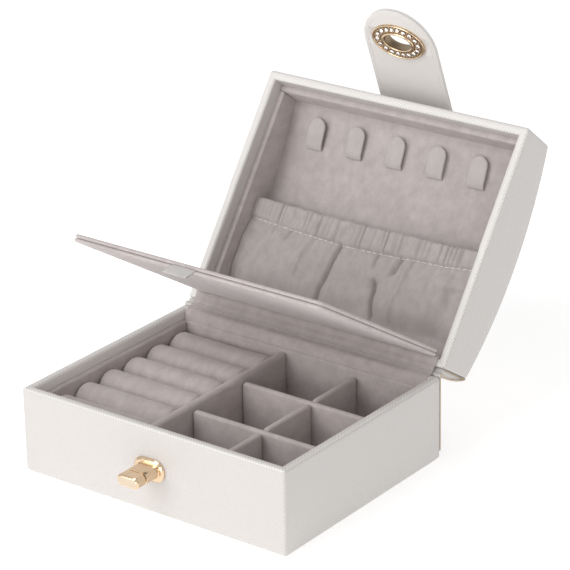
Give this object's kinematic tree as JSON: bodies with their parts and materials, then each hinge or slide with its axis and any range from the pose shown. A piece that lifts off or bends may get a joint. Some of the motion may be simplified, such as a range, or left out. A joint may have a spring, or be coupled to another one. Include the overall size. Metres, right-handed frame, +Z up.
{
  "type": "jewellery box",
  "caption": "Hinged jewellery box in wrapped board with a domed lid, inner cover flap, ring rolls, divided cells, necklace hooks, gathered pocket and a turn-lock strap.",
  "frame": {"origin": "centre of the underside, on the surface the box stands on", "axes": "+Z up, -Y out of the front with the lock, +X to the right seen from the front; the lid is open at rest"},
  "size_m": [0.165, 0.2514, 0.2039],
  "materials": {
    "white_leather": "satin",
    "grey_velvet": "matte",
    "board": "matte",
    "bottom_sheet": "matte",
    "gold_metal": "polished",
    "steel_backing": "satin",
    "glass_stone": "polished",
    "elastic": "matte",
    "pocket_cloth": "matte",
    "ribbon": "satin"
  },
  "bodies": {
    "base": {"bottom_sheet": "bottom_sheet", "base_bottom_board": "board", "base_front_board": "board", "base_rear_board": "board", "base_left_board": "board", "base_right_board": "board", "base_cover": "white_leather", "liner_floor": "grey_velvet", "liner_front": "grey_velvet", "liner_rear": "grey_velvet", "liner_left": "grey_velvet", "liner_right": "grey_velvet", "roll_divider": "grey_velvet", "cross_divider_rear": "grey_velvet", "cross_divider_front": "grey_velvet", "cell_divider_rear": "grey_velvet", "cell_divider_middle": "grey_velvet", "cell_divider_front": "grey_velvet", "base_spine": "white_leather", "base_hinge_velvet": "grey_velvet", "lock_plate": "gold_metal", "lock_backing_plate": "steel_backing", "ring_roll_1": "grey_velvet", "ring_roll_2": "grey_velvet", "ring_roll_3": "grey_velvet", "ring_roll_4": "grey_velvet", "ring_roll_5": "grey_velvet", "ring_roll_6": "grey_velvet"},
    "lid": {"lid_top_board": "board", "lid_front_board": "board", "lid_rear_board": "board", "lid_left_board": "board", "lid_right_board": "board", "lid_cover": "white_leather", "lid_liner_front": "grey_velvet", "lid_liner_rear": "grey_velvet", "lid_liner_left": "grey_velvet", "lid_liner_right": "grey_velvet", "lid_back_panel": "grey_velvet", "pocket_cloth": "pocket_cloth", "pocket_elastic": "elastic", "strap_root": "white_leather", "lid_spine": "white_leather", "lid_hinge_velvet": "grey_velvet", "necklace_hook_1": "grey_velvet", "necklace_hook_2": "grey_velvet", "necklace_hook_3": "grey_velvet", "necklace_hook_4": "grey_velvet", "necklace_hook_5": "grey_velvet"},
    "flap": {"flap_upper_board": "grey_velvet", "flap_lower_board": "grey_velvet", "flap_pull_tab": "ribbon", "flap_hinge_velvet": "grey_velvet"},
    "strap": {"strap_outer": "white_leather", "strap_inner": "white_leather", "eyelet_outer": "gold_metal", "eyelet_inner": "gold_metal", "stones_outer": "glass_stone", "stones_inner": "glass_stone"},
    "knob": {"turn_knob": "gold_metal"}
  },
  "joints": [
    {"name": "lid_hinge", "type": "hinge", "parent": "base", "child": "lid", "pos_m": [0, 0.0675, 0.0474], "axis": [-1, 0, 0], "range_deg": [-126, 0]},
    {"name": "flap_hinge", "type": "hinge", "parent": "lid", "child": "flap", "pos_m": [0, 0.0724, 0.0545], "axis": [-1, 0, 0], "range_deg": [0, 94.1]},
    {"name": "strap_fold", "type": "hinge", "parent": "lid", "child": "strap", "pos_m": [0, 0.16667, 0.14], "axis": [1, 0, 0], "range_deg": [-57, 24.8], "stiffness_Nm_per_rad": 0.1},
    {"name": "knob_turn", "type": "hinge", "parent": "base", "child": "knob", "pos_m": [0, -0.0655, 0.0244], "axis": [0, -1, 0], "range_deg": [0, 90]}
  ],
  "couplings": [
    {"joint": "flap_hinge", "follows": "lid_hinge", "ratio": -0.7468}
  ]
}
